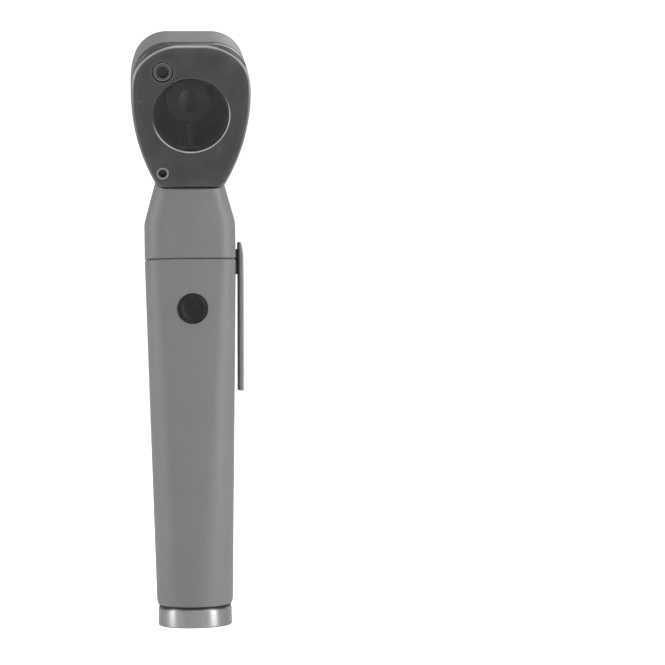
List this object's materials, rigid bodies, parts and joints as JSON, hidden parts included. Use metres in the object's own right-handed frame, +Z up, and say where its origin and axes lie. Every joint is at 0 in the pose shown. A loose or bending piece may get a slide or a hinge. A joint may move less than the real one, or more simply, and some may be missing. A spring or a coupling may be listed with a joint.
{
  "type": "otoscope",
  "caption": "Pocket otoscope: battery handle with push button, pocket clip and screwed end cap, under a tilted head with a swing-aside magnifier window and a speculum holder.",
  "frame": {"origin": "middle of the end cap's flat bottom face, on the handle's axis", "axes": "+Z up along the handle; -Y towards the user, where the window and the button are; +X towards the pocket clip"},
  "size_m": [0.0322, 0.0403, 0.1634],
  "materials": {
    "shell": "satin moulded plastic, fine grain",
    "window": "smoked, glossy, slightly see-through",
    "lens_glass": "polished",
    "steel": "turned",
    "dark_metal": "blackened, satin",
    "spring_steel": "drawn wire",
    "brass": "plain",
    "rubber": "matt",
    "black_plastic": "satin",
    "fibre": "bundled light fibre",
    "lamp_glass": "clear",
    "cell_jacket": "printed film on steel, plain",
    "sleeve": "natural",
    "cap_metal": "bright turned",
    "clip_metal": "satin",
    "board": "lacquered board"
  },
  "bodies": {
    "root": {"handle_shell": "shell", "head_shell": "shell", "pivot_screw": "dark_metal", "pivot_bush": "brass", "pivot_washer": "steel", "detent_ball": "steel", "detent_spring": "spring_steel", "window_gasket": "rubber", "speculum_holder": "black_plastic", "holder_screws": "steel", "light_guide": "fibre", "air_port": "steel", "lamp_socket": "brass", "lamp_contact": "brass", "lamp_base": "steel", "lamp_bulb": "lamp_glass", "fibre_bundle": "fibre", "neck_screw": "steel", "battery_lower": "cell_jacket", "battery_upper": "cell_jacket", "battery_sleeve": "sleeve", "contact_strip": "brass", "switch_board": "board", "switch_body": "black_plastic", "contact_dome": "steel", "clip_pad": "rubber", "clip_screws": "steel"},
    "window": {"window_plate": "window", "magnifier_lens": "lens_glass", "lens_ring": "dark_metal", "detent_stud": "dark_metal"},
    "button": {"button_cap": "black_plastic", "switch_plunger": "black_plastic"},
    "cap_carrier": {"cap_spring": "spring_steel"},
    "cap": {"end_cap": "cap_metal", "cap_o_ring": "rubber"},
    "clip": {"clip_bar": "clip_metal"}
  },
  "joints": [
    {"name": "window_swing", "type": "hinge", "parent": "root", "child": "window", "pos_m": [-0.0077, -0.02253, 0.15057], "axis": [0, -0.9272, -0.3746], "range_deg": [0, 150]},
    {"name": "button_press", "type": "slide", "parent": "root", "child": "button", "axis": [0, 1, 0], "range_m": [0, 0.0006], "stiffness_N_per_m": 1500},
    {"name": "cap_travel", "type": "slide", "parent": "root", "child": "cap_carrier", "axis": [0, 0, -1], "range_m": [0, 0.00451]},
    {"name": "cap_turn", "type": "hinge", "parent": "cap_carrier", "child": "cap", "pos_m": [0, 0, 0], "axis": [0, 0, -1], "range_deg": [0, 1080]},
    {"name": "clip_flex", "type": "hinge", "parent": "root", "child": "clip", "pos_m": [0.01325, 0, 0.10385], "axis": [0, -1, 0], "range_deg": [0, 3], "stiffness_Nm_per_rad": 1.4}
  ],
  "couplings": [
    {"joint": "cap_travel", "follows": "cap_turn", "m_per_rad": 0.00023873}
  ]
}
